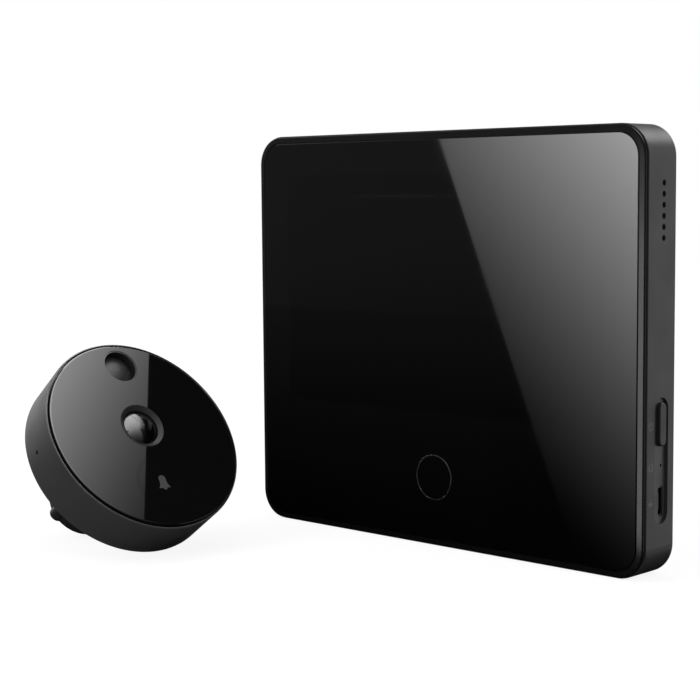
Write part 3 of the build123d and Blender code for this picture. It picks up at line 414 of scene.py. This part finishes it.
def open_ring(tree, spot, up):
    """A ring with a gap at its top."""
    squares = []
    for value, middle in zip(spot, (SIGN_ACROSS, up)):
        away = arithmetic(tree, "SUBTRACT", value, middle)
        squares.append(arithmetic(tree, "MULTIPLY", away, away))
    reach = arithmetic(tree, "SQRT", arithmetic(tree, "ADD", *squares))
    ring = within(tree, reach, SIGN_RADIUS, SIGN_LINE / 2)
    gap = bar(tree, spot, up, (0.0, SIGN_RADIUS), SIGN_GAP)
    return arithmetic(tree, "SUBTRACT", ring, gap, clamp=True)


def print_signs(made):
    tree = made.node_tree
    surface = tree.nodes["Principled BSDF"]
    axes = split(tree, place(tree))
    spot = axes["Y"], axes["Z"]
    inks = [
        open_ring(tree, spot, SIGN_UP["power"]),
        bar(tree, spot, SIGN_UP["power"], *POWER_STROKE),
        open_ring(tree, spot, SIGN_UP["reset"]),
        bar(tree, spot, SIGN_UP["reset"], *RESET_END),
        bar(tree, spot, SIGN_UP["port"], *PORT_BODY),
        bar(tree, spot, SIGN_UP["port"], *PORT_STEM),
    ]
    ink = inks[0]
    for other in inks[1:]:
        ink = arithmetic(tree, "MAXIMUM", ink, other)
    on_side = ramp(tree, axes["X"], SIGN_SIDE - SIGN_SIDE_EDGE, SIGN_SIDE, 0.0, 1.0)
    ink = arithmetic(tree, "MULTIPLY", ink, on_side)
    bare_colour = surface.inputs["Base Color"].links[0].from_socket
    tree.links.new(blend_colours(tree, ink, bare_colour, SIGN_COLOUR), surface.inputs["Base Color"])


print_signs(FINISHES["monitor_shell"])

for part in frame["record"]["subparts"]:
    shown = frame["nodes"][part["node"]]
    if not shown.material_slots:
        shown.data.materials.append(None)
    for slot in shown.material_slots:
        slot.link = "OBJECT"
        slot.material = FINISHES[part["material_slot"]]


# Stage: cards, floor, surroundings, world, lamps and camera
def flat(name, corners, material):
    mesh = bpy.data.meshes.new(name)
    mesh.from_pydata(corners, [], [tuple(range(len(corners)))])
    mesh.materials.append(material)
    made = bpy.data.objects.new(name, mesh)
    bpy.context.scene.collection.objects.link(made)
    return made


def only_reflections(made):
    made.visible_camera = False
    made.visible_diffuse = False
    made.visible_transmission = False
    made.visible_volume_scatter = False
    made.visible_shadow = False


def bare(name):
    """A material, its tree, and the output that is all the tree has."""
    made = bpy.data.materials.new(name)
    made.use_nodes = True
    made.node_tree.nodes.clear()
    return made, made.node_tree, node(made.node_tree, "ShaderNodeOutputMaterial")


def even_glow(tree, first, second, glow, most):
    """A glow that changes evenly over a card."""
    level, by_first, by_second, by_both = glow
    total = arithmetic(tree, "MULTIPLY_ADD", first, by_first, level)
    total = arithmetic(tree, "MULTIPLY_ADD", second, by_second, total)
    both = arithmetic(tree, "MULTIPLY", first, second)
    total = arithmetic(tree, "MULTIPLY_ADD", both, by_both, total)
    total = arithmetic(tree, "MINIMUM", arithmetic(tree, "MAXIMUM", total, 0.0), most)
    return arithmetic(tree, "POWER", total, GLOW_POWER)


def card(name, across, at, corners, glow, most):
    """A card that reflections see from one side: a light, or a shade like the dark room."""
    made, tree, output = bare(name)
    axes = split(tree, place(tree))
    if glow:
        first, second = (axes[axis] for axis in "XYZ" if axis != across)
        strength = even_glow(tree, first, second, glow, most)
    else:
        strength = ramp(tree, axes["Z"], SHADE_LOW, SHADE_HIGH, 0.0, ROOM_GLOW)
    emission = node(tree, "ShaderNodeEmission")
    tree.links.new(strength, emission.inputs["Strength"])
    mixed = node(tree, "ShaderNodeMixShader")
    tree.links.new(node(tree, "ShaderNodeNewGeometry").outputs["Backfacing"], mixed.inputs["Fac"])
    tree.links.new(emission.outputs[0], mixed.inputs[1])
    tree.links.new(node(tree, "ShaderNodeBsdfTransparent").outputs[0], mixed.inputs[2])
    tree.links.new(mixed.outputs[0], output.inputs["Surface"])
    points = [list(corner) for corner in corners]
    for point in points:
        point.insert("XYZ".index(across), at)
    only_reflections(flat(name, points, made))


def seen_directly(tree):
    """1 for camera, glossy and transmission rays, and 0 for the rest."""
    path = node(tree, "ShaderNodeLightPath")
    rays = arithmetic(tree, "MAXIMUM", path.outputs["Is Camera Ray"], path.outputs["Is Glossy Ray"])
    return arithmetic(tree, "MAXIMUM", rays, path.outputs["Is Transmission Ray"])


def make_floor():
    made, tree, output = bare("floor")
    lit = node(tree, "ShaderNodeBsdfDiffuse")
    share = ramp(tree, seen_directly(tree), 0.0, 1.0, FLOOR_COLOUR, FLOOR_LIT)
    grey = node(tree, "ShaderNodeCombineColor")
    for socket in grey.inputs[:3]:
        tree.links.new(share, socket)
    tree.links.new(grey.outputs[0], lit.inputs["Color"])
    white = node(tree, "ShaderNodeEmission")
    strength = arithmetic(tree, "MULTIPLY", seen_directly(tree), FLOOR_WHITE)
    tree.links.new(strength, white.inputs["Strength"])
    both = node(tree, "ShaderNodeAddShader")
    tree.links.new(lit.outputs[0], both.inputs[0])
    tree.links.new(white.outputs[0], both.inputs[1])
    tree.links.new(both.outputs[0], output.inputs["Surface"])
    sides = ((-1, -1), (1, -1), (1, 1), (-1, 1))
    floor = flat("floor", [(x * FLOOR_REACH, y * FLOOR_REACH, -FLOOR_DROP) for x, y in sides], made)
    floor.visible_glossy = False


def make_surroundings():
    made, tree, output = bare("surroundings")
    direction = node(tree, "ShaderNodeVectorMath", operation="NORMALIZE")
    tree.links.new(place(tree), direction.inputs[0])
    axes = split(tree, direction.outputs[0])
    behind = ramp(tree, axes["Y"], SWEEP_START, SWEEP_END, 0.0, 1.0)
    below_top = ramp(tree, axes["Z"], SWEEP_TOP_START, SWEEP_TOP_END, 1.0, 0.0)
    over_low = ramp(tree, axes["Z"], SWEEP_LOW_START, SWEEP_LOW_END, 0.0, SWEEP_GLOW)
    sweep = arithmetic(tree, "MULTIPLY", arithmetic(tree, "MULTIPLY", behind, below_top), over_low)
    room = ramp(tree, axes["Z"], ROOM_LOW, ROOM_HIGH, 0.0, ROOM_GLOW)
    total = arithmetic(tree, "MAXIMUM", sweep, room)
    for towards, inner, outer, glow in SOFT_LIGHTS:
        near = node(tree, "ShaderNodeVectorMath", operation="DOT_PRODUCT")
        tree.links.new(direction.outputs[0], near.inputs[0])
        near.inputs[1].default_value = Vector(towards).normalized()
        edges = math.cos(math.radians(outer)), math.cos(math.radians(inner))
        soft = ramp(tree, near.outputs["Value"], *edges, 0.0, glow)
        total = arithmetic(tree, "MAXIMUM", total, soft)
    emission = node(tree, "ShaderNodeEmission")
    tree.links.new(total, emission.inputs["Strength"])
    tree.links.new(emission.outputs[0], output.inputs["Surface"])
    bpy.ops.mesh.primitive_uv_sphere_add(
        segments=SURROUND_STEPS, ring_count=SURROUND_STEPS // 2, radius=SURROUND_RADIUS
    )
    ball = bpy.context.object
    ball.name = "surroundings"
    ball.data.materials.append(made)
    only_reflections(ball)


def make_world():
    world = bpy.data.worlds.new("studio")
    bpy.context.scene.world = world
    world.use_nodes = True
    tree = world.node_tree
    background = tree.nodes["Background"]
    background.inputs["Color"].default_value = WHITE
    strength = ramp(tree, seen_directly(tree), 0.0, 1.0, ROOM_LIGHT, 1.0)
    tree.links.new(strength, background.inputs["Strength"])


def lamp(name, spot, size, power):
    light = bpy.data.lights.new(name, "AREA")
    light.shape = "SQUARE"
    light.size = size
    light.energy = power
    made = bpy.data.objects.new(name, light)
    bpy.context.scene.collection.objects.link(made)
    made.location = spot
    made.rotation_euler = (LAMP_AIM - spot).to_track_quat("-Z", "Y").to_euler()
    made.visible_glossy = False


def make_camera():
    cos_dip, sin_dip = math.cos(CAMERA_DIP), math.sin(CAMERA_DIP)
    ahead = Vector((math.sin(CAMERA_YAW) * cos_dip, math.cos(CAMERA_YAW) * cos_dip, -sin_dip))
    level = Vector((math.cos(CAMERA_YAW), -math.sin(CAMERA_YAW), 0.0))
    upright = level.cross(ahead)
    right = level * math.cos(CAMERA_ROLL) + upright * math.sin(CAMERA_ROLL)
    top = upright * math.cos(CAMERA_ROLL) - level * math.sin(CAMERA_ROLL)
    data = bpy.data.cameras.new("camera")
    data.lens = CAMERA_LENS
    data.sensor_width = CAMERA_SENSOR
    data.clip_start = CAMERA_NEAR
    data.clip_end = CAMERA_FAR
    camera = bpy.data.objects.new("camera", data)
    bpy.context.scene.collection.objects.link(camera)
    turned = Matrix((right, top, -ahead)).transposed().to_4x4()
    camera.matrix_world = Matrix.Translation(CAMERA_PLACE) @ turned
    bpy.context.scene.camera = camera


make_camera()
make_world()
make_floor()
make_surroundings()
for name, values in CARDS.items():
    card(name, *values)
lamp("key_lamp", KEY_PLACE, KEY_SIZE, KEY_POWER)
lamp("fill_lamp", FILL_PLACE, FILL_SIZE, FILL_POWER)
bpy.context.scene.view_settings.view_transform = "Standard"
